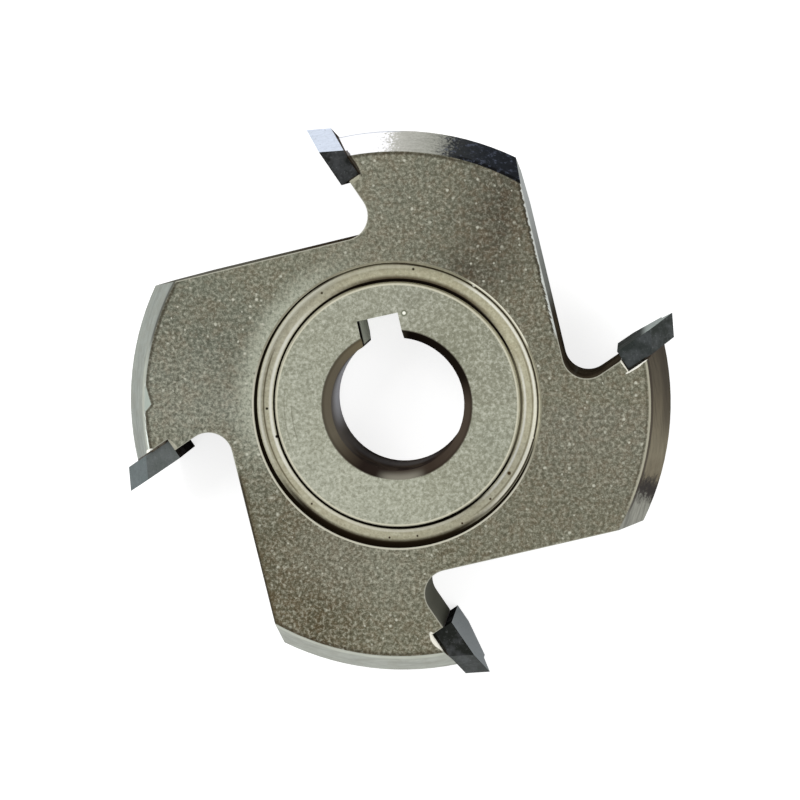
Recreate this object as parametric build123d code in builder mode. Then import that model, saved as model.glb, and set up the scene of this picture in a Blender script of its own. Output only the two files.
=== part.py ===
from build123d import *
import os
from math import cos, radians, sin, sqrt, tan

# A bevel trimming cutter for a woodworking spindle: a steel body with four swept wings,
# each with a carbide cutting tip brazed into a pocket behind its chip gullet.
# It lies on its back face: the origin is on the bore's axis at that face and +Z goes up
# the bore to the front face. Seen from the front, the tips lead anticlockwise.

# Main sizes, in millimetres and degrees
cutting_diameter = 69.0
bore_diameter = 16.0
cutter_height = 13.0
wing_count = 4

# Rim of the wings inside the cutting circle: a bevel on the front, a slight taper and a
# bevel on the back
tip_reach = 1.9
front_bevel_width = 2.35
front_bevel_depth = 3.75
rim_taper = 1.35
back_bevel_width = 3.1
back_bevel_height = 4.0

# Carbide tip, measured in along its rake face from the outer cutting corner
tip_bearing = 108.25
hook_angle = 15.8
relief_angle = 14.2
tip_thickness = 2.55
tip_length = 7.9
tip_drop = 0.85
tip_bevel_length = 3.15
tip_bevel_depth = 2.85
tip_step_inset = 1.5
tip_step_top = 5.5
tip_step_bottom = 7.3
tip_tail_inset = 5.5

# Chip gullet: one wall lies behind the rake face and the tip stands proud of it, the
# other is the heel of the wing ahead, and they meet in a rounded root
tip_proud = 1.1
gullet_length = 15.2
gullet_angle = 69.2
gullet_fillet = 2.9
edge_break = 0.12

# Silver solder round the tip, and its bead along the pocket's back wall
seam_thickness = 0.15
bead_width = 0.12
bead_height = 0.45

# Turned groove inside the gullets, and the hub that it leaves round the bore
gullet_web = 3.45
groove_width = 2.45
groove_depth = 1.4
groove_outer_fillet = 0.6
groove_inner_fillet = 0.4
hub_drop = 0.7

# Bore and its keyway
bore_chamfer = 1.0
keyway_width = 5.0
keyway_reach = 10.8
keyway_bearing = 102.1

# Places worked out from the sizes above
cutting_radius = cutting_diameter / 2
bore_radius = bore_diameter / 2
rim_radius = cutting_radius - tip_reach
face_edge_radius = rim_radius - front_bevel_width
back_bevel_radius = rim_radius - rim_taper
back_face_radius = back_bevel_radius - back_bevel_width
bevel_foot = cutter_height - front_bevel_depth
hub_face = cutter_height - hub_drop
groove_floor = hub_face - groove_depth
tip_top = cutter_height - tip_drop
tip_set_back = tip_thickness * tan(radians(hook_angle + relief_angle))
pocket_depth = tip_thickness + seam_thickness
pocket_end = tip_length + seam_thickness


def rake_plane(number):
    """The rake face of one tip: X runs out along the face to the cutting corner at the
    origin, Y runs up and Z points back through the tip to the steel."""
    turned = Plane.XY.rotated((0, 0, tip_bearing - number * 360 / wing_count))
    corner = turned.from_local_coords((cutting_radius, 0, 0))
    leaning = turned.rotated((0, 0, hook_angle))
    return Plane(origin=corner, x_dir=leaning.x_dir, z_dir=-leaning.y_dir)


def beside_rake(number, inset, back):
    """A point in plan, by how far it lies in along the rake face and behind it."""
    return rake_plane(number).from_local_coords(Vector(-inset, 0, back))


# The first gullet's root and its heel wall, which sets how large the groove can be
gullet_root = beside_rake(0, gullet_length, tip_proud)
heel_end = beside_rake(0, gullet_length - cutting_diameter * cos(radians(gullet_angle)),
                       tip_proud - cutting_diameter * sin(radians(gullet_angle)))
heel_wall_distance = abs(gullet_root.cross((heel_end - gullet_root).normalized()).Z)
groove_radius = heel_wall_distance - gullet_web
hub_radius = groove_radius - groove_width

# Turned blank: the section of the whole body from the bore out to the rim
with BuildPart() as blank:
    with BuildSketch(Plane.XZ):
        with BuildLine():
            Polyline((bore_radius, 0), (back_face_radius, 0),
                     (back_bevel_radius, back_bevel_height), (rim_radius, bevel_foot),
                     (face_edge_radius, cutter_height), (groove_radius, cutter_height),
                     (groove_radius, groove_floor), (hub_radius, groove_floor),
                     (hub_radius, hub_face), (bore_radius, hub_face), close=True)
        make_face()
        chamfer(vertices().filter_by_position(Axis.X, bore_radius, bore_radius),
                length=bore_chamfer)
        fillet(vertices().sort_by_distance((hub_radius, groove_floor))[0],
               radius=groove_inner_fillet)
        fillet(vertices().sort_by_distance((groove_radius, groove_floor))[0],
               radius=groove_outer_fillet)
        chamfer(vertices().sort_by_distance((hub_radius, hub_face))[0], length=edge_break)
        chamfer(vertices().sort_by_distance((groove_radius, cutter_height))[0],
                length=edge_break)
    revolve(axis=Axis.Z)

# Cutter for one gullet and the tip pocket behind it
pocket_mouth = beside_rake(0, pocket_end, tip_proud)
pocket_corner = beside_rake(0, pocket_end, pocket_depth)
pocket_out = beside_rake(0, -cutting_radius, pocket_depth)

with BuildPart() as gullet:
    with BuildSketch():
        with BuildLine():
            Polyline(heel_end, gullet_root, pocket_mouth, pocket_corner, pocket_out, close=True)
        make_face()
        fillet(vertices().sort_by_distance(gullet_root)[0], radius=gullet_fillet)
    extrude(amount=cutter_height)

# Body: the blank with its keyway, gullets and pockets cut, and their edges broken
with BuildPart() as cutter_body:
    add(blank.part)
    with BuildSketch():
        Rectangle(keyway_reach, keyway_width, rotation=keyway_bearing,
                  align=(Align.MIN, Align.CENTER))
    extrude(amount=cutter_height, mode=Mode.SUBTRACT)
    with PolarLocations(0, wing_count):
        add(gullet.part, mode=Mode.SUBTRACT)
    flat_faces = faces().filter_by(Axis.Z).sort_by(SortBy.AREA)[-2:]
    wing_outline = flat_faces.sort_by(Axis.Z)[-1].outer_wire().edges()
    chamfer(wing_outline.filter_by(lambda edge: edge.geom_type != GeomType.CIRCLE
                                   or edge.radius < groove_radius), length=edge_break)

# Where the pocket's back wall reaches the edge of the front face
wall_offset = cutting_radius * sin(radians(hook_angle)) + pocket_depth
wall_run = sqrt(face_edge_radius ** 2 - wall_offset ** 2)
bead_inset = cutting_radius * cos(radians(hook_angle)) - wall_run

os.makedirs("parts", exist_ok=True)
cutter_body.part.label = "cutter_body"
export_step(cutter_body.part, "parts/cutter_body.step")

for number in range(wing_count):
    # Carbide tip: the profile on its rake face, drawn in by the relief at its back
    with BuildPart() as carbide_tip:
        for back, set_back in ((0, 0), (tip_thickness, tip_set_back)):
            with BuildSketch(rake_plane(number).offset(back)):
                with BuildLine():
                    Polyline((-tip_length, 0),
                             (-tip_tail_inset - set_back, 0),
                             (-tip_step_inset - set_back, tip_top - tip_step_bottom),
                             (-tip_step_inset - set_back, tip_top - tip_step_top),
                             (-set_back, tip_top - tip_bevel_depth),
                             (-tip_bevel_length - set_back, tip_top),
                             (-tip_length, tip_top), close=True)
                make_face()
        loft(ruled=True)
    carbide_tip.part.label = f"carbide_tip_{number + 1}"
    export_step(carbide_tip.part, f"parts/carbide_tip_{number + 1}.step")

    # Solder seam: a thin wall inside and behind the tip, flush with the body's rim,
    # and the bead that stands on the tip along the pocket's back wall
    with BuildPart() as braze_seam:
        with BuildSketch():
            with BuildLine():
                Polyline(beside_rake(number, pocket_end, tip_proud),
                         beside_rake(number, tip_length, tip_proud),
                         beside_rake(number, tip_length, tip_thickness),
                         beside_rake(number, 0, tip_thickness),
                         beside_rake(number, 0, pocket_depth),
                         beside_rake(number, pocket_end, pocket_depth), close=True)
            make_face()
        extrude(amount=tip_top)
        add(blank.part, mode=Mode.INTERSECT)
        rake = rake_plane(number)
        bead_start = beside_rake(number, pocket_end, 0)
        with BuildSketch(Plane(origin=bead_start, x_dir=rake.z_dir, z_dir=rake.x_dir)):
            with BuildLine():
                Polyline((tip_thickness - bead_width, -tip_top), (pocket_depth, -tip_top),
                         (pocket_depth, -tip_top - bead_height), close=True)
            make_face()
        extrude(amount=pocket_end - bead_inset)
    braze_seam.part.label = f"braze_seam_{number + 1}"
    export_step(braze_seam.part, f"parts/braze_seam_{number + 1}.step")
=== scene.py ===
import math

import bpy
from mathutils import Matrix, Vector


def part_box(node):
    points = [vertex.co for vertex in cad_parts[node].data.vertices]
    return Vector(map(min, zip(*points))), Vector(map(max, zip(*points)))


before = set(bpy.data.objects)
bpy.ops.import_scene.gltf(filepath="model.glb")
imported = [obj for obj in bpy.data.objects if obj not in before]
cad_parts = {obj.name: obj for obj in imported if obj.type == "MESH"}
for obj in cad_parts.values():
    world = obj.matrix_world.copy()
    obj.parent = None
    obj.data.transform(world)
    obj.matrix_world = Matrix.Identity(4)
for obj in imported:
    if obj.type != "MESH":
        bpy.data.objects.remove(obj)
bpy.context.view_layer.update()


# Cutter body: one disc of tool steel, turned, milled to four swept wings and hardened.
# Its front face was blasted, its bore and groove turned, and the bevel round its rim ground
# bright. The gullets are painted dark brown: the brown of the furnace, darkened as painted shade.

# its radii and heights in millimetres, from the bore's axis and from the table
face_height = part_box("cutter_body")[1].z * 1000
hub_drop = 0.7
hub_height = face_height - hub_drop
face_edge = 30.25
groove_outer = 17.1
groove_inner = 14.65
keyway_reach = 10.8
bore_radius = 8.0
bore_chamfer = 1.0


def shade(red, green, blue):
    """A colour given as it looks, each part from 0 to 255."""
    parts = [v / 255 for v in (red, green, blue)]
    return tuple(v / 12.92 if v <= 0.04045 else ((v + 0.055) / 1.055) ** 2.4 for v in parts) + (1,)


def feed(tree, socket, value):
    """Links a socket to another node's output, or sets it to a plain value."""
    if isinstance(value, bpy.types.NodeSocket):
        tree.links.new(value, socket)
    else:
        socket.default_value = value


def put(tree, kind, settings=None, **inputs):
    """Adds a shader node, sets what settings names, and feeds its inputs: i0 is the first."""
    node = tree.nodes.new("ShaderNode" + kind)
    for name, value in (settings or {}).items():
        setattr(node, name, value)
    for name, value in inputs.items():
        numbered = name[0] == "i" and name[1:].isdigit()
        feed(tree, node.inputs[int(name[1:]) if numbered else name], value)
    return node


def sums(tree, operation, *values):
    """The result of one sum."""
    inputs = {f"i{n}": v for n, v in enumerate(values)}
    return put(tree, "Math", {"operation": operation}, **inputs).outputs[0]


def times(tree, first, second):
    """The product of two masks, or of a mask and a share."""
    return sums(tree, "MULTIPLY", first, second)


def rise(tree, value, start, end, low=0.0, high=1.0):
    """Goes smoothly from low to high while value goes from start to end."""
    ends = {"From Min": start, "From Max": end, "To Min": low, "To Max": high}
    return put(tree, "MapRange", {"interpolation_type": "SMOOTHSTEP"}, Value=value, **ends).outputs[0]


def ring(tree, value, inner, outer, soft):
    """A mask that is 1 where value lies between inner and outer."""
    opens = rise(tree, value, inner - soft / 2, inner + soft / 2)
    closes = rise(tree, value, outer - soft / 2, outer + soft / 2, 1.0, 0.0)
    return times(tree, opens, closes)


def arc(tree, bearing, middle, half, soft):
    """A mask that is 1 within half degrees of a middle bearing, also across zero."""
    away = sums(tree, "SUBTRACT", bearing, float(middle))
    turned = sums(tree, "COSINE", sums(tree, "RADIANS", away))
    outer = math.cos(math.radians(min(half + soft / 2, 180))) - 0.001
    inner = math.cos(math.radians(max(half - soft / 2, 0)))
    return rise(tree, turned, outer, inner)


def stripe(tree, at, across, around):
    """A curved stripe: a ring of radii across it, and an arc of bearings around the bore."""
    return times(tree, ring(tree, at["Radius"], *across), arc(tree, at["Bearing"], *around))


def dot(tree, first, second):
    """How far the first vector reaches along the second."""
    return put(tree, "VectorMath", {"operation": "DOT_PRODUCT"}, i0=first, i1=second).outputs["Value"]


def towards(tree, place, degrees):
    """How far a place lies from the bore's axis in the direction of a bearing."""
    return dot(tree, place, (math.cos(math.radians(degrees)), math.sin(math.radians(degrees)), 0))


def cloud(tree, place, scale, detail=3.0, roughness=0.6):
    """Noise with so many lumps in a millimetre."""
    return put(tree, "TexNoise", Vector=place, Scale=scale, Detail=detail, Roughness=roughness).outputs[0]


def over(tree, share, below, above):
    """Colour above laid over colour below by share."""
    node = put(tree, "Mix", {"data_type": "RGBA"})
    sockets = {socket.identifier: socket for socket in node.inputs}
    feed(tree, sockets["Factor_Float"], share)
    feed(tree, sockets["A_Color"], below)
    feed(tree, sockets["B_Color"], above)
    return next(s for s in node.outputs if s.identifier == "Result_Color")


def lay(tree, below, tone, mask, amount=1.0):
    """A tone laid over a colour where the mask shows, at a share of amount."""
    return over(tree, times(tree, mask, amount), below, shade(*tone))


def level(tree, share, below, above):
    """Number above laid over number below by share."""
    node = put(tree, "Mix", {"data_type": "FLOAT"}, i0=share, i2=below, i3=above)
    return node.outputs[0]


def round_colours(tree, bearing, stops):
    """Colours that change with the bearing: stops are (degrees, colour), in order."""
    made = put(tree, "ValToRGB", Fac=sums(tree, "DIVIDE", bearing, 360.0))
    elements = made.color_ramp.elements
    elements.remove(elements[1])
    elements[0].position = stops[0][0] / 360
    elements[0].color = shade(*stops[0][1])
    for stop, tone in stops[1:]:
        elements.new(stop / 360).color = shade(*tone)
    return made.outputs[0]


def group(name, inputs, outputs):
    """A new node group with named sockets: its tree, and the sockets at its two ends."""
    tree = bpy.data.node_groups.new(name, "ShaderNodeTree")
    for label, kind in inputs:
        tree.interface.new_socket(label, in_out="INPUT", socket_type="NodeSocket" + kind)
    for label, kind in outputs:
        tree.interface.new_socket(label, in_out="OUTPUT", socket_type="NodeSocket" + kind)
    return tree, tree.nodes.new("NodeGroupInput").outputs, tree.nodes.new("NodeGroupOutput").inputs


def use(tree, made, **inputs):
    """Places a node group and returns its outputs."""
    node = tree.nodes.new("ShaderNodeGroup")
    node.node_tree = made
    for name, value in inputs.items():
        feed(tree, node.inputs[name], value)
    return node.outputs


def finish_for(name):
    """A new material, its tree, its shader and its object position in millimetres."""
    made = bpy.data.materials.new(name)
    made.use_nodes = True
    tree = made.node_tree
    place = put(tree, "TexCoord").outputs["Object"]
    scaled = put(tree, "VectorMath", {"operation": "SCALE"}, i0=place, Scale=1000)
    return made, tree, tree.nodes["Principled BSDF"], scaled.outputs[0]


def dress(name, made):
    """Gives a piece its one material."""
    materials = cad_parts[name].data.materials
    materials.clear()
    materials.append(made)


# place on the cutter: radius and bearing round the bore, height, how far a face looks up, and
# the rim unrolled into a strip, whose ends meet at a bearing where a gullet cuts the rim
strip_start = 40.0
polar, given, gives = group("place_on_cutter", [("Place", "Vector")],
                            [("Radius", "Float"), ("Bearing", "Float"), ("Height", "Float"),
                             ("Upward", "Float"), ("Unrolled", "Vector")])
flat = put(polar, "VectorMath", {"operation": "MULTIPLY"}, i0=given["Place"], i1=(1, 1, 0))
reach = put(polar, "VectorMath", {"operation": "LENGTH"}, i0=flat.outputs[0]).outputs["Value"]
parts = put(polar, "SeparateXYZ", i0=given["Place"]).outputs
turn = sums(polar, "DEGREES", sums(polar, "ARCTAN2", parts["Y"], parts["X"]))
turn = sums(polar, "WRAP", turn, 360.0, 0.0)
onward = sums(polar, "WRAP", turn, strip_start + 360, strip_start)
looks = put(polar, "SeparateXYZ", i0=put(polar, "TexCoord").outputs["Normal"]).outputs["Z"]
along = times(polar, sums(polar, "RADIANS", onward), reach)
strip = put(polar, "CombineXYZ", X=along, Y=reach, Z=parts["Z"]).outputs[0]
for label, value in (("Radius", reach), ("Bearing", turn), ("Height", parts["Z"]),
                     ("Upward", looks), ("Unrolled", strip)):
    polar.links.new(value, gives[label])

# blasted grain: fine pits, and small bright flecks where the grit cut deeper
blast, given, gives = group("blasted_grain",
                            [("Place", "Vector"), ("Grain", "Float"), ("Flecks", "Float")],
                            [("Tone", "Float"), ("Pit", "Float"), ("Patch", "Float"),
                             ("Stain", "Float"), ("Fleck", "Float"), ("Height", "Float")])
per_mm = sums(blast, "DIVIDE", 1.0, given["Grain"])
fine = put(blast, "TexNoise", Vector=given["Place"], Scale=per_mm, Detail=3.0, Roughness=0.75,
           Distortion=0.3).outputs[0]
broad = cloud(blast, given["Place"], 0.22, 4.0)
close = cloud(blast, given["Place"], 1.1, 3.0, 0.65)
wander = put(blast, "TexNoise", Vector=given["Place"], Scale=3.0, Detail=1.0, Roughness=0.5)
wander = put(blast, "VectorMath", {"operation": "SCALE"}, i0=wander.outputs["Color"], Scale=0.22)
moved = put(blast, "VectorMath", {"operation": "ADD"}, i0=given["Place"], i1=wander.outputs[0])
cells = put(blast, "TexVoronoi", Vector=moved.outputs[0], Scale=1.4, Randomness=1.0).outputs
chance = put(blast, "SeparateColor", Color=cells["Color"]).outputs
size = times(blast, chance[0], times(blast, given["Flecks"], 0.34))
from_middle = sums(blast, "DIVIDE", cells["Distance"], sums(blast, "MAXIMUM", size, 0.02))
fleck = times(blast, rise(blast, from_middle, 1.15, 0.35), rise(blast, chance[1], 0.35, 0.95, 0.25, 1.0))
for label, value in (("Tone", rise(blast, fine, 0.44, 0.78)),
                     ("Pit", rise(blast, fine, 0.55, 0.26)),
                     ("Patch", rise(blast, broad, 0.38, 0.62)),
                     ("Stain", rise(blast, close, 0.36, 0.64)),
                     ("Fleck", fleck),
                     ("Height", sums(blast, "ADD", fine, times(blast, fleck, 0.4)))):
    blast.links.new(value, gives[label])

# ground grain: fine parallel lines left by a wheel or a turning tool
ground, given, gives = group("ground_lines", [("Place", "Vector"), ("Stretch", "Vector")],
                             [("Tone", "Float"), ("Height", "Float")])
drawn = put(ground, "VectorMath", {"operation": "MULTIPLY"}, i0=given["Place"], i1=given["Stretch"])
lines = cloud(ground, drawn.outputs[0], 1.0, 4.0)
ground.links.new(rise(ground, lines, 0.32, 0.68), gives["Tone"])
ground.links.new(lines, gives["Height"])

steel, tree, shader, place = finish_for("hardened_steel")
at = use(tree, polar, Place=place)
radius, bearing, height, upward = at["Radius"], at["Bearing"], at["Height"], at["Upward"]

# a chip in the edge between face and bevel on the left wing: a wedge with a long side and a
# short one, deepest near its lower end
chip_start = 175.2
chip_end = 181.4
chip_long_side = 4.4
chip_short_side = 1.7
chip_depth = 0.72
chip = sums(tree, "MINIMUM",
            sums(tree, "DIVIDE", sums(tree, "SUBTRACT", bearing, chip_start), chip_long_side),
            sums(tree, "DIVIDE", sums(tree, "SUBTRACT", chip_end, bearing), chip_short_side))
chip = times(tree, sums(tree, "MAXIMUM", chip, 0.0), chip_depth)
from_edge = sums(tree, "ADD", radius, chip)

# the front face: blasted grey-brown, browner in patches and paler beside the groove, with a
# painted glare on the bottom wing
grain = use(tree, blast, Place=place, Grain=0.42, Flecks=1.0)
face_colours = ((0, (119, 117, 100)), (42, (107, 104, 88)), (61, (68, 59, 48)), (76, (108, 107, 92)),
                (98, (128, 127, 111)), (132, (122, 123, 106)), (160, (112, 114, 101)),
                (180, (138, 140, 127)), (200, (116, 117, 101)), (240, (91, 81, 58)),
                (252, (89, 79, 56)), (266, (118, 115, 95)), (330, (114, 111, 94)),
                (352, (122, 119, 104)))
tint = round_colours(tree, bearing, face_colours)
tint = lay(tree, tint, (124, 116, 96), grain["Patch"], 0.3)
tint = lay(tree, tint, (114, 119, 104), grain["Stain"], 0.3)
tint = lay(tree, tint, (122, 110, 90), rise(tree, grain["Stain"], 0.5, 0.0), 0.24)
left_patch = times(tree, arc(tree, bearing, 158, 34, 44), rise(tree, radius, 20.4, 17.3))
tint = lay(tree, tint, (178, 182, 165), left_patch, 0.8)
# a painted glare on the bottom wing
low_glare = times(tree, arc(tree, bearing, 256, 18, 24), rise(tree, radius, 27.5, 20.0))
tint = lay(tree, tint, (156, 157, 142), low_glare, 0.3)
coarse = rise(tree, arc(tree, bearing, 228, 62, 40), 0.0, 1.0, 1.0, 1.18)
coarse = sums(tree, "SUBTRACT", coarse, times(tree, arc(tree, bearing, 60, 12, 16), 0.25))
face = lay(tree, tint, (54, 50, 38), times(tree, grain["Pit"], coarse), 0.54)
face = lay(tree, face, (193, 192, 175), times(tree, grain["Tone"], coarse), 0.66)
face = lay(tree, face, (210, 210, 194), grain["Fleck"], 0.74)

# a dark band along its edge with the bevel, painted shade where it passes the chip on the left
# wing, a bright line there on the right wing, and the bottom wing's browned heel
dark_foot_arcs = times(tree, arc(tree, bearing, 256, 36, 8), 0.85)
dark_foot_arcs = sums(tree, "MAXIMUM", arc(tree, bearing, 170, 24, 8), dark_foot_arcs)
dark_foot_arcs = sums(tree, "MAXIMUM", arc(tree, bearing, 88, 15, 8), dark_foot_arcs)
# the dark band on the face along the bevel; beside the chip it is painted shade
foot = times(tree, ring(tree, from_edge, face_edge - 0.39, face_edge - 0.05, 0.3), dark_foot_arcs)
face = lay(tree, face, (52, 42, 30), foot, 0.62)
right_wing = (356, 19, 6)  # bearing, half width and blur
face = lay(tree, face, (174, 171, 153), stripe(tree, at, (29.98, 30.22, 0.12), right_wing))
face = lay(tree, face, (76, 71, 57), stripe(tree, at, (29.68, 29.86, 0.12), right_wing), 0.5)
top_heel_bearing = 12.8
low_heel = towards(tree, place, top_heel_bearing + 180)
low_edge = arc(tree, bearing, 224, 20, 6)
face = lay(tree, face, (84, 70, 44), times(tree, rise(tree, low_heel, 19.3, 20.4), low_edge), 0.5)

# the hub face, a little lower, paler and evenly blasted, with two faint turned scratches, a
# pale line round it, a dark one at the bore's chamfer and a nick beside the keyway
hub_grain = use(tree, blast, Place=place, Grain=0.42, Flecks=0.5)
hub_colours = ((0, (150, 151, 134)), (50, (141, 142, 124)), (85, (154, 155, 139)),
               (160, (158, 160, 143)), (228, (174, 176, 159)), (275, (168, 170, 152)),
               (312, (154, 155, 137)), (340, (154, 156, 139)))
hub = round_colours(tree, bearing, hub_colours)
hub = lay(tree, hub, (172, 172, 152), hub_grain["Patch"], 0.2)
hub = lay(tree, hub, (100, 98, 80), hub_grain["Pit"], 0.5)
hub = lay(tree, hub, (216, 217, 202), hub_grain["Tone"], 0.66)
hub = lay(tree, hub, (218, 218, 204), hub_grain["Fleck"], 0.5)
scratches = sums(tree, "MAXIMUM", stripe(tree, at, (12.6, 12.72, 0.1), (190, 9, 6)),
                 stripe(tree, at, (13.5, 13.6, 0.1), (186, 12, 8)))
hub = lay(tree, hub, (96, 94, 76), scratches, 0.5)
hub = lay(tree, hub, (214, 211, 190), ring(tree, radius, 14.36, 14.6, 0.12), 0.85)
chamfer_edge = bore_radius + bore_chamfer
hub_rim = times(tree, ring(tree, radius, chamfer_edge - 0.1, chamfer_edge + 0.08, 0.05),
                rise(tree, arc(tree, bearing, 272, 16, 12), 1.0, 0.0))
hub = lay(tree, hub, (66, 58, 46), hub_rim, 0.7)
nick = put(tree, "VectorMath", {"operation": "DISTANCE"}, i0=place, i1=(0.95, 11.03, hub_height))
hub = lay(tree, hub, (120, 124, 104), rise(tree, nick.outputs["Value"], 0.42, 0.32))
hub = lay(tree, hub, (252, 252, 240), rise(tree, nick.outputs["Value"], 0.26, 0.14))

# the turned groove: painted shade at both walls, with some dirt in the corners at their feet, and
# pale rings on its floor and round its edge that are painted highlights and a painted glint. A row
# is a stripe's radii and blur, its bearing, half width and blur, its strength and its colour.
floor_colours = ((0, (206, 203, 180)), (60, (190, 187, 161)), (90, (194, 191, 165)),
                 (150, (220, 217, 195)), (190, (206, 203, 178)), (240, (196, 193, 168)),
                 (275, (192, 189, 163)), (320, (210, 207, 184)))
groove = round_colours(tree, bearing, floor_colours)
groove = lay(tree, groove, (230, 229, 208), hub_grain["Tone"], 0.5)
groove = lay(tree, groove, (136, 131, 106), hub_grain["Pit"], 0.4)
groove = lay(tree, groove, (170, 158, 128), hub_grain["Stain"], 0.24)
for across, around, amount, tone in (
        # painted highlights on the rounded corners of the floor
        ((15.18, 15.5, 0.22), (215, 85, 20), 0.6, (246, 244, 228)),
        ((15.12, 15.4, 0.22), (345, 30, 20), 1.0, (255, 255, 246)),
        ((15.2, 15.55, 0.22), (175, 35, 20), 0.9, (255, 255, 244)),
        ((16.32, 16.6, 0.2), (10, 50, 20), 1.0, (255, 255, 246)),
        ((16.4, 16.75, 0.2), (335, 25, 20), 0.7, (246, 244, 228)),
        ((16.5, 16.84, 0.22), (160, 42, 20), 0.9, (250, 249, 234)),
        # a fine darker line across the floor
        ((16.1, 16.28, 0.14), (190, 32, 10), 0.85, (110, 102, 78)),
        ((16.06, 16.24, 0.14), (345, 40, 14), 0.6, (120, 112, 88)),
        # painted shade along both walls and at their feet, with some dirt in the corners
        ((14.7, 15.4, 0.5), (80, 32, 40), 0.85, (66, 51, 31)),
        ((14.7, 14.96, 0.1), (30, 80, 10), 1.0, (14, 10, 6)),
        ((14.8, 15.06, 0.1), (210, 104, 10), 1.0, (14, 10, 6)),
        ((14.8, 15.08, 0.14), (95, 50, 40), 1.0, (18, 13, 8)),
        ((16.68, 16.9, 0.12), (20, 70, 20), 0.95, (46, 37, 24)),
        ((16.8, 17.04, 0.16), (105, 22, 14), 0.85, (48, 38, 25)),
        ((16.94, 17.12, 0.04), (225, 110, 10), 1.0, (26, 21, 13)),
        ((16.58, 17.12, 0.2), (262, 44, 26), 1.0, (32, 25, 16)),
        ((14.7, 15.14, 0.1), (250, 55, 20), 1.0, (14, 10, 6)),
        ((16.4, 16.7, 0.3), (262, 44, 26), 0.7, (70, 62, 46)),
        # the edge round the groove: painted shade on one side, a painted highlight and a painted glint on
        # the other
        ((17.15, 17.36, 0.04), (60, 115, 10), 0.8, (124, 121, 104)),
        ((17.13, 17.36, 0.04), (250, 85, 20), 0.85, (206, 204, 188)),
        ((17.08, 17.3, 0.1), (42, 17, 4), 0.9, (246, 243, 224)),
        # a painted highlight on the floor, a lighter line at the hub's wall, and painted shade at the
        # outer wall
        ((16.3, 16.66, 0.2), (112, 26, 20), 0.6, (238, 236, 216)),
        ((14.7, 14.98, 0.1), (0, 22, 16), 0.5, (150, 144, 122)),
        ((16.92, 17.12, 0.06), (318, 26, 12), 0.9, (26, 21, 13))):
    groove = lay(tree, groove, tone, stripe(tree, at, across, around), amount)

# spots of rust and two bright nicks in the groove: bearing, radius, size and colour
flat = put(tree, "VectorMath", {"operation": "MULTIPLY"}, i0=place, i1=(1, 1, 0)).outputs[0]
for spot_bearing, spot_radius, spot_size, tone in (
        (83, 16.3, 0.17, (70, 62, 46)), (124, 16.1, 0.16, (88, 80, 62)),
        (182, 15.8, 0.17, (60, 56, 46)), (195, 15.15, 0.2, (24, 20, 14)),
        (229, 16.0, 0.14, (70, 60, 44)), (266, 16.2, 0.14, (60, 44, 34)),
        (278, 16.1, 0.13, (58, 44, 34)), (298, 16.3, 0.14, (76, 60, 44)),
        (314, 15.9, 0.16, (84, 70, 52)), (328, 15.7, 0.24, (90, 74, 52)),
        (57, 16.95, 0.2, (250, 250, 238)), (346, 16.6, 0.16, (240, 238, 222))):
    aim = math.radians(spot_bearing)
    spot = (spot_radius * math.cos(aim), spot_radius * math.sin(aim), 0)
    away = put(tree, "VectorMath", {"operation": "DISTANCE"}, i0=flat, i1=spot).outputs["Value"]
    groove = lay(tree, groove, tone, rise(tree, away, spot_size * 1.25, spot_size * 0.6))

# the bevel ground round the rim; its colour changes with the bearing: on the top wing a band
# painted white, a painted reflection of the light above, then one part blued, one brown and two
# plain grey
rim_colours = ((0, (90, 82, 65)), (5, (75, 68, 54)), (17, (58, 50, 38)), (50, (16, 17, 22)),
               (70, (28, 32, 38)), (77.5, (50, 52, 53)), (80.5, (140, 141, 132)),
               # from 92 to 125 degrees: painted reflection of the light above
               (91, (182, 181, 174)), (92, (250, 250, 253)), (125, (250, 250, 253)),
               (135, (136, 141, 135)), (200, (136, 141, 135)), (225, (146, 149, 141)),
               (292, (152, 155, 146)), (326, (120, 121, 114)), (338.4, (128, 128, 118)),
               (339.4, (34, 26, 19)), (342.6, (20, 12, 8)), (344.6, (104, 96, 77)),
               (349, (114, 107, 88)), (359.9, (90, 82, 65)))
low_wings = arc(tree, bearing, 215, 75, 10)
scatter = rise(tree, arc(tree, bearing, 83, 22, 10), 0.0, 1.0, 1.6, 11.0)
mottled = times(tree, sums(tree, "SUBTRACT", cloud(tree, place, 3.4, 2.0), 0.5), scatter)
ragged = rise(tree, arc(tree, bearing, 341, 9, 6), 0.0, 1.0, 0.0, 9.0)
ragged = times(tree, sums(tree, "SUBTRACT", cloud(tree, place, 1.3, 4.0, 0.7), 0.5), ragged)
moved_bearing = sums(tree, "ADD", sums(tree, "ADD", bearing, mottled), ragged)
bevel = round_colours(tree, moved_bearing, rim_colours)

# the wheel's lines, its long sweeps on the left and bottom wings, and their dull patches
wheel = use(tree, ground, Place=at["Unrolled"], Stretch=(0.5, 5.0, 1.0))
bevel = lay(tree, bevel, (40, 40, 38), wheel["Tone"], 0.14)
sweep = use(tree, ground, Place=at["Unrolled"], Stretch=(0.07, 1.5, 0.0))
bevel = lay(tree, bevel, (198, 206, 190), times(tree, sweep["Tone"], low_wings), 0.12)
dull = rise(tree, cloud(tree, place, 0.7), 0.45, 0.6)
bevel = lay(tree, bevel, (116, 112, 96), times(tree, dull, low_wings), 0.16)

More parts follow.
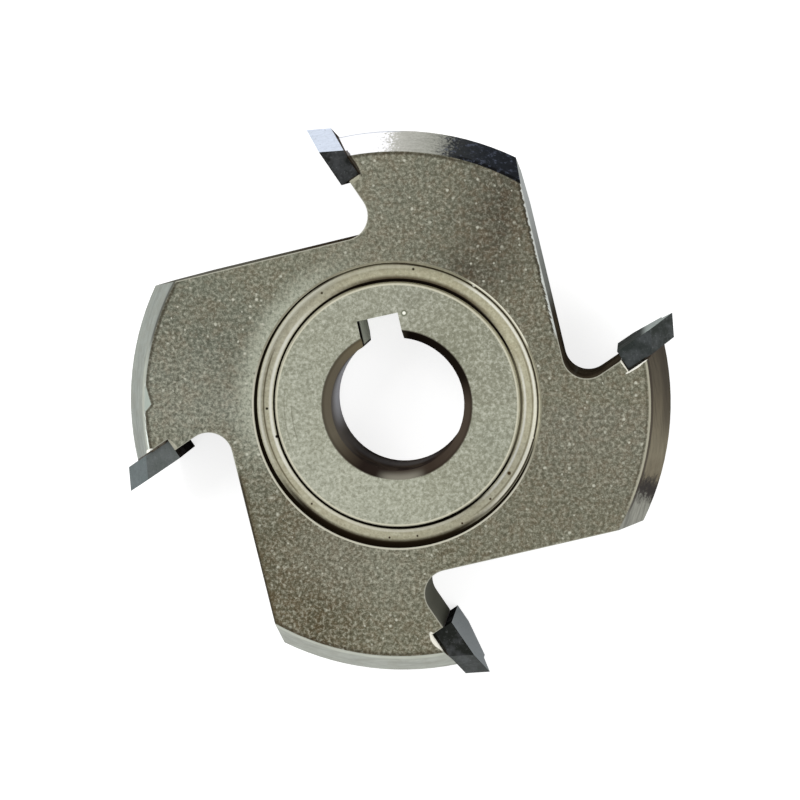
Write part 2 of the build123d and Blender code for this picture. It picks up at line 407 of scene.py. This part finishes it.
# light and dark lines along the bevel, and streaks on the right wing
bevel = lay(tree, bevel, (196, 200, 184), stripe(tree, at, (30.3, 30.7, 0.2), (225, 56, 8)), 0.4)
bevel = lay(tree, bevel, (4, 4, 4), stripe(tree, at, (30.2, 30.56, 0.16), (66, 10, 3)), 0.85)
bevel = lay(tree, bevel, (58, 57, 46), stripe(tree, at, (30.2, 30.5, 0.12), (157, 8, 4)), 0.85)
streak = cloud(tree, at["Unrolled"], 0.9, 4.0, 0.65)
light_streak = times(tree, arc(tree, bearing, 332, 6, 3), rise(tree, streak, 0.42, 0.66))
bevel = lay(tree, bevel, (190, 190, 178), light_streak, 0.16)
dark_streak = times(tree, arc(tree, bearing, 351, 25, 4), rise(tree, streak, 0.5, 0.3))
bevel = lay(tree, bevel, (30, 26, 20), dark_streak, 0.3)
bevel = lay(tree, bevel, (176, 182, 192), stripe(tree, at, (32.48, 33.0, 0.08), (98, 8, 4)), 0.8)
bevel = lay(tree, bevel, (44, 36, 26), stripe(tree, at, (30.26, 30.5, 0.12), (354, 19, 4)), 0.8)

# blueing on the top wing, scorching on the right one, and the chip and burr on the left one
flame = rise(tree, cloud(tree, place, 1.5, 5.0, 0.7), 0.52, 0.66)
blued = times(tree, arc(tree, bearing, 68, 11, 4), flame)
bevel = lay(tree, bevel, (92, 99, 116), blued, 0.5)
scorched = times(tree, arc(tree, bearing, 8, 13, 8), rise(tree, radius, 31.3, 32.0))
bevel = lay(tree, bevel, (34, 27, 18), scorched, 0.55)
chipped = times(tree, rise(tree, chip, 0.02, 0.2), rise(tree, radius, face_edge + 0.2, face_edge - 0.05))
bevel = lay(tree, bevel, (176, 186, 177), chipped, 0.85)
jag = cloud(tree, at["Unrolled"], 1.1, 3.0, 0.7)
burr = times(tree, stripe(tree, at, (30.2, 30.42, 0.15), (184, 8, 4)), rise(tree, jag, 0.42, 0.5))
bevel = lay(tree, bevel, (236, 242, 236), times(tree, burr, rise(tree, chip, 0.1, 0.0)))

# the walls: ground pale at the heel of each wing; in the gullets dark brown, the brown of the
# furnace darkened as painted shade
brown = cloud(tree, place, 0.4, 4.0)
walls = over(tree, rise(tree, brown, 0.35, 0.65), shade(56, 48, 38), shade(80, 72, 58))
walls = lay(tree, walls, (118, 119, 108), arc(tree, bearing, 279, 9, 6), 0.85)
heel = over(tree, rise(tree, radius, 21.5, 30.0), shade(132, 134, 128), shade(196, 200, 198))
heel = lay(tree, heel, (84, 80, 64), arc(tree, bearing, 128, 35, 10), 0.85)
away = put(tree, "VectorMath", {"operation": "NORMALIZE"}, i0=place).outputs[0]
outward = dot(tree, put(tree, "TexCoord").outputs["Normal"], away)
heel = over(tree, rise(tree, outward, 0.52, 0.6), walls, heel)
walls = over(tree, rise(tree, radius, 21.2, 22.6), walls, heel)

# bore, keyway and the chamfer that leads in: turned and broached, dark as painted shade, with a
# painted sheen on the bore's left and lower walls
bore = over(tree, rise(tree, brown, 0.4, 0.6), shade(56, 48, 44), shade(76, 66, 57))
# painted sheen on the left and lower walls of the bore
bore = lay(tree, bore, (132, 127, 120), arc(tree, bearing, 188, 34, 30), 0.6)
left_sheen = times(tree, arc(tree, bearing, 166, 28, 34), rise(tree, height, 12.0, 3.5))
bore = lay(tree, bore, (214, 215, 221), left_sheen)
low_sheen = times(tree, arc(tree, bearing, 258, 40, 30), ring(tree, height, 2.6, 6.4, 3.0))
bore = lay(tree, bore, (112, 110, 110), low_sheen, 0.6)
broached = over(tree, rise(tree, height, 9.0, 10.2), shade(206, 210, 196), shade(28, 26, 22))
bore = over(tree, rise(tree, radius, bore_radius + 0.15, bore_radius + 0.25), bore, broached)
chamfer_colours = ((0, (80, 70, 60)), (22, (32, 26, 21)), (80, (20, 15, 12)), (118, (128, 118, 94)),
                   (150, (112, 104, 88)), (205, (110, 103, 88)), (226, (74, 66, 55)),
                   (240, (42, 34, 30)), (258, (46, 38, 33)), (270, (72, 64, 56)),
                   (284, (72, 64, 56)), (298, (64, 54, 46)), (330, (82, 72, 62)),
                   (359.9, (80, 70, 60)))
lead_in = round_colours(tree, bearing, chamfer_colours)
oiled = rise(tree, radius, chamfer_edge - 0.4, chamfer_edge - 0.05)
lead_in = lay(tree, lead_in, (34, 27, 21), oiled, 0.35)
faded = times(tree, arc(tree, bearing, 273, 12, 18), rise(tree, radius, 7.95, 8.8))
lead_in = lay(tree, lead_in, (156, 152, 138), faded, 0.8)

# the back: ground flat on a magnetic table, its bevel and the bore's lower chamfer turned
flat_ground = use(tree, ground, Place=place, Stretch=(0.25, 4.5, 0.25))
back = over(tree, flat_ground["Tone"], shade(132, 132, 124), shade(170, 170, 163))
back = lay(tree, back, (120, 116, 100), grain["Patch"], 0.3)
back_bevel = over(tree, wheel["Tone"], shade(108, 106, 97), shade(138, 137, 128))
back = over(tree, rise(tree, upward, -0.8, -0.7), back, back_bevel)

# each finish in its place, with a painted highlight as a thin bright line along every broken
# edge, and along the top wing's heel a torn burr and its painted shadow
is_wall = rise(tree, upward, 0.3, 0.2)
is_back = rise(tree, upward, -0.4, -0.5)
is_bevel = rise(tree, from_edge, face_edge - 0.05, face_edge + 0.01)
is_groove = rise(tree, radius, groove_outer + 0.26, groove_outer + 0.2)
is_hub = rise(tree, radius, groove_inner - 0.03, groove_inner - 0.05)
is_inside = rise(tree, radius, keyway_reach + 0.4, keyway_reach + 0.3)
is_lead_in = times(tree, ring(tree, radius, bore_radius - 0.1, chamfer_edge - 0.02, 0.04),
                   rise(tree, height, hub_height - 1.08, hub_height - 1.02))
# a painted highlight along every broken edge
edge_highlight = times(tree, ring(tree, upward, 0.45, 0.95, 0.1),
                  rise(tree, height, face_height - 0.18, face_height - 0.12))
colour = lay(tree, face, (190, 189, 174), edge_highlight, 0.7)
colour = lay(tree, colour, (44, 38, 26), times(tree, rise(tree, low_heel, 20.06, 20.34), low_edge), 0.8)
torn_edge = arc(tree, bearing, 44, 20, 4)
top_heel = sums(tree, "ADD", towards(tree, place, top_heel_bearing), times(tree, jag, 0.9))
# first a painted shadow beside the burr, then the burr itself
for inner, outer, soft, amount, tone in ((20.44, 20.7, 0.12, 0.6, (44, 40, 32)),
                                         (20.72, 21.2, 0.1, 0.9, (214, 218, 214))):
    burr_and_shadow = times(tree, ring(tree, top_heel, inner, outer, soft), torn_edge)
    colour = lay(tree, colour, tone, burr_and_shadow, amount)
colour = over(tree, is_bevel, colour, bevel)
colour = over(tree, is_groove, colour, groove)
colour = over(tree, is_hub, colour, hub)
colour = over(tree, is_wall, colour, over(tree, is_groove, walls, groove))

# solder that ran out over the edge of each pocket: soft ellipses, and in the first row a
# painted shadow along the top tip's back wall. A row is the turn of the wing, the middle and half
# width behind the tip and then outward along it, the strength and the colour.
tip_bearing = 108.25
hook_angle = 15.8
along_tip = tip_bearing + hook_angle
behind_tip = along_tip - 90
near_face = rise(tree, height, face_height - 1.1, face_height - 0.9)
lumpy = times(tree, sums(tree, "SUBTRACT", cloud(tree, place, 1.1), 0.5), 0.7)
for way, behind, outward_by, amount, tone in (
        # a painted shadow along the top tip's back wall, not solder
        (0, (12.1, 0.3), (27.9, 3.0), 0.9, (44, 37, 28)),
        (0, (10.8, 1.3), (25.05, 0.36), 0.6, (176, 174, 154)),
        (-90, (12.12, 0.16), (26.2, 1.45), 1.0, (252, 250, 240)),
        (-90, (11.0, 1.3), (25.14, 0.14), 1.0, (246, 244, 230)),
        (-180, (12.1, 0.46), (26.1, 1.3), 1.0, (240, 238, 226)),
        (-270, (10.9, 1.0), (25.05, 0.32), 0.6, (190, 188, 170)),
        (-270, (12.1, 0.3), (27.8, 0.5), 1.0, (246, 246, 236))):
    offsets = []
    for degrees, (middle, half) in ((behind_tip, behind), (along_tip, outward_by)):
        reached = sums(tree, "ADD", towards(tree, place, degrees + way),
                       times(tree, lumpy, min(1.0, half * 1.6)))
        offsets.append(sums(tree, "DIVIDE", sums(tree, "SUBTRACT", reached, middle), half))
    offset = put(tree, "CombineXYZ", X=offsets[0], Y=offsets[1]).outputs[0]
    away = put(tree, "VectorMath", {"operation": "LENGTH"}, i0=offset).outputs["Value"]
    spread = times(tree, rise(tree, away, 1.12, 0.88), near_face)
    colour = lay(tree, colour, tone, spread, amount)
colour = over(tree, times(tree, is_wall, is_inside), colour, bore)
colour = over(tree, is_lead_in, colour, lead_in)
colour = over(tree, is_back, colour, back)

rough = level(tree, grain["Tone"], 0.66, 0.5)
rough = level(tree, is_bevel, rough, level(tree, wheel["Tone"], 0.3, 0.42))
metal = level(tree, is_bevel, 0.25, 0.8)
metal = level(tree, arc(tree, bearing, 68, 11, 3), metal, 0.25)
metal = level(tree, is_wall, metal, level(tree, is_back, 0.0, 0.4))
metal = level(tree, is_lead_in, metal, 0.0)
dents = put(tree, "Bump", Height=grain["Height"], Distance=0.00004,
            Strength=level(tree, sums(tree, "MAXIMUM", is_bevel, is_wall), 0.5, 0.06))
feed(tree, shader.inputs["Base Color"], colour)
feed(tree, shader.inputs["Roughness"], rough)
feed(tree, shader.inputs["Metallic"], metal)
feed(tree, shader.inputs["Normal"], dents.outputs[0])
shader.inputs["Specular IOR Level"].default_value = 0.0
dress("cutter_body", steel)


# Carbide tips: four sintered tungsten carbide blanks, one in the pocket of each wing, ground
# on every face after brazing. Near black, with the sheen of a fine diamond wheel.

# a row is the tip, the colours of its top, outer bevel, rake face and tail, and the radius up
# to which the tail's colour runs along the rake face. The tips are one carbide and their colours
# differ as painted light: the first tip's white outer bevel and the second's pale rake face are
# painted reflections, and the tail's colour, on the sides and ends and low on the rake face, is
# painted shade.
for number, top_tone, outer_tone, rake_tone, tail_tone, tail_reach in (
        (1, (34, 36, 34), (220, 229, 244), (78, 76, 74), (62, 50, 42), 20),
        (2, (49, 54, 52), (54, 58, 55), (186, 195, 191), (68, 72, 68), 31.2),
        (3, (38, 40, 37), (68, 71, 69), (164, 170, 172), (22, 21, 19), 20),
        (4, (95, 100, 98), (107, 116, 116), (120, 124, 124), (38, 34, 29), 20)):
    carbide, tree, shader, place = finish_for(f"ground_carbide_{number}")
    at = use(tree, polar, Place=place)
    turned = math.radians(tip_bearing - 90 * (number - 1))
    normal = put(tree, "TexCoord").outputs["Normal"]
    ahead = dot(tree, normal, (-math.sin(turned), math.cos(turned), 0))
    wheel = use(tree, ground, Place=at["Unrolled"], Stretch=(0.7, 5.0, 2.0))
    haze = cloud(tree, place, 0.55, 3.0, 0.55)
    specks = cloud(tree, place, 3.2, 3.0, 0.7)
    rake = over(tree, rise(tree, at["Radius"], tail_reach - 1.2, tail_reach), shade(*tail_tone),
                shade(*rake_tone))
    # painted shade low on the rake face
    low_rake_shade = times(tree, rise(tree, at["Height"], 9.0, 8.6), rise(tree, ahead, 0.7, 0.6))
    colour = over(tree, rise(tree, at["Upward"], 0.97, 0.95), shade(*top_tone), shade(*outer_tone))
    colour = lay(tree, colour, tail_tone, rise(tree, at["Upward"], 0.4, 0.3))
    colour = over(tree, rise(tree, ahead, 0.6, 0.7), colour, rake)
    colour = lay(tree, colour, tail_tone, low_rake_shade)
    colour = lay(tree, colour, (84, 86, 86), rise(tree, at["Upward"], -0.9, -0.95))
    colour = lay(tree, colour, (30, 30, 30), wheel["Tone"], 0.1)
    colour = lay(tree, colour, (150, 152, 158), rise(tree, haze, 0.4, 0.65), 0.12)
    colour = lay(tree, colour, (210, 214, 216), rise(tree, specks, 0.55, 0.75), 0.08)
    colour = lay(tree, colour, (20, 20, 19), rise(tree, specks, 0.42, 0.3), 0.3)
    marks = put(tree, "Bump", Height=wheel["Height"], Distance=0.00001, Strength=0.3)
    feed(tree, shader.inputs["Base Color"], colour)
    feed(tree, shader.inputs["Roughness"], level(tree, wheel["Tone"], 0.32, 0.46))
    feed(tree, shader.inputs["Metallic"], rise(tree, at["Upward"], 0.4, 0.5, 0.0, 0.5))
    feed(tree, shader.inputs["Normal"], marks.outputs[0])
    shader.inputs["Specular IOR Level"].default_value = 0.0
    dress(f"carbide_tip_{number}", carbide)


# Solder seams: silver solder that ran between each tip and its pocket and set there as a thin
# line, lumpy where it was drawn out. It is painted black or brown, as painted shade in the narrow
# joint between tip and pocket.
for number, low_tone, high_tone in ((1, (34, 27, 21), (60, 50, 38)),
                                    (2, (22, 20, 16), (50, 47, 42)),
                                    (3, (20, 20, 14), (46, 46, 38)),
                                    (4, (60, 50, 42), (116, 108, 96))):
    solder, tree, shader, place = finish_for(f"silver_solder_{number}")
    at = use(tree, polar, Place=place)
    lumps = cloud(tree, place, 1.6, 4.0)
    outer_and_side_parts = sums(tree, "MAXIMUM", rise(tree, at["Radius"], 29.9, 30.4), rise(tree, at["Upward"], 0.3, 0.2))
    colour = over(tree, rise(tree, lumps, 0.4, 0.6), shade(*low_tone), shade(*high_tone))
    colour = lay(tree, colour, (60, 50, 41), outer_and_side_parts, 0.9)
    swell = put(tree, "Bump", Height=lumps, Distance=0.00012, Strength=0.6)
    feed(tree, shader.inputs["Base Color"], colour)
    feed(tree, shader.inputs["Roughness"], rise(tree, lumps, 0.3, 0.7, 0.28, 0.5))
    feed(tree, shader.inputs["Normal"], swell.outputs[0])
    shader.inputs["Metallic"].default_value = 0.2
    shader.inputs["Specular IOR Level"].default_value = 0.1
    dress(f"braze_seam_{number}", solder)


# Floor: a pale table under the cutter. It looks white to the camera and in the metal, and
# still takes the cutter's shadow.
table_width = 3.0
table_glow = 0.76
bpy.ops.object.select_all(action="DESELECT")
bpy.ops.mesh.primitive_plane_add(size=table_width, location=(0, 0, 0))
table = bpy.context.object
table.name = "floor"
table_top = bpy.data.materials.new("pale_table")
table_top.use_nodes = True
tree = table_top.node_tree
shader = tree.nodes["Principled BSDF"]
shader.inputs["Base Color"].default_value = (0.62, 0.62, 0.62, 1)
shader.inputs["Roughness"].default_value = 0.9
shader.inputs["Specular IOR Level"].default_value = 0.0
ray = put(tree, "LightPath").outputs
seen = sums(tree, "MAXIMUM", ray["Is Camera Ray"], ray["Is Glossy Ray"])
glow = put(tree, "Emission", Color=(1, 1, 1, 1), Strength=times(tree, seen, table_glow))
both = put(tree, "AddShader", i0=shader.outputs[0], i1=glow.outputs[0])
feed(tree, tree.nodes["Material Output"].inputs["Surface"], both.outputs[0])
table.data.materials.append(table_top)


# Light and camera: a pale room, one broad soft lamp over the upper left and a weaker one at
# the right, and a camera almost straight above, at the photograph's distance and tilt.
room_light = 0.5
room_seen = 0.9
sky = bpy.data.worlds.new("pale_room")
bpy.context.scene.world = sky
sky.use_nodes = True
tree = sky.node_tree
ray = put(tree, "LightPath").outputs
seen = sums(tree, "MAXIMUM", ray["Is Glossy Ray"], ray["Is Transmission Ray"])
seen = sums(tree, "MAXIMUM", ray["Is Camera Ray"], seen)
background = tree.nodes["Background"]
feed(tree, background.inputs["Strength"], level(tree, seen, room_light, room_seen))
background.inputs["Color"].default_value = (1, 1, 1, 1)

for name, power, size, spot in (("lamp_left", 1.7, 0.35, (-0.3, 0.28, 0.5)),
                                ("lamp_right", 0.7, 0.3, (0.4, -0.1, 0.4))):
    lamp = bpy.data.lights.new(name, "AREA")
    lamp.energy = power
    lamp.size = size
    hung = bpy.data.objects.new(name, lamp)
    hung.location = spot
    hung.rotation_euler = Vector(spot).to_track_quat("Z", "Y").to_euler()
    bpy.context.scene.collection.objects.link(hung)

# the camera's place is in millimetres from the middle of the hub face, along its own axes
tilt_x = math.radians(5.791)
tilt_y = math.radians(-4.624)
camera_place = Vector((0.381, 0.628, 356.25))
leaning = Matrix.Rotation(tilt_y, 3, "Y") @ Matrix.Rotation(tilt_x, 3, "X")
stand = leaning.transposed() @ camera_place + Vector((0, 0, hub_height))
lens = bpy.data.cameras.new("camera")
lens.sensor_width = 36
lens.lens = 134.32
lens.clip_start = 0.01
camera = bpy.data.objects.new("camera", lens)
aim = leaning.transposed().to_4x4()
aim.translation = stand / 1000
camera.matrix_world = aim
bpy.context.scene.collection.objects.link(camera)
bpy.context.scene.camera = camera
bpy.context.scene.view_settings.view_transform = "Standard"
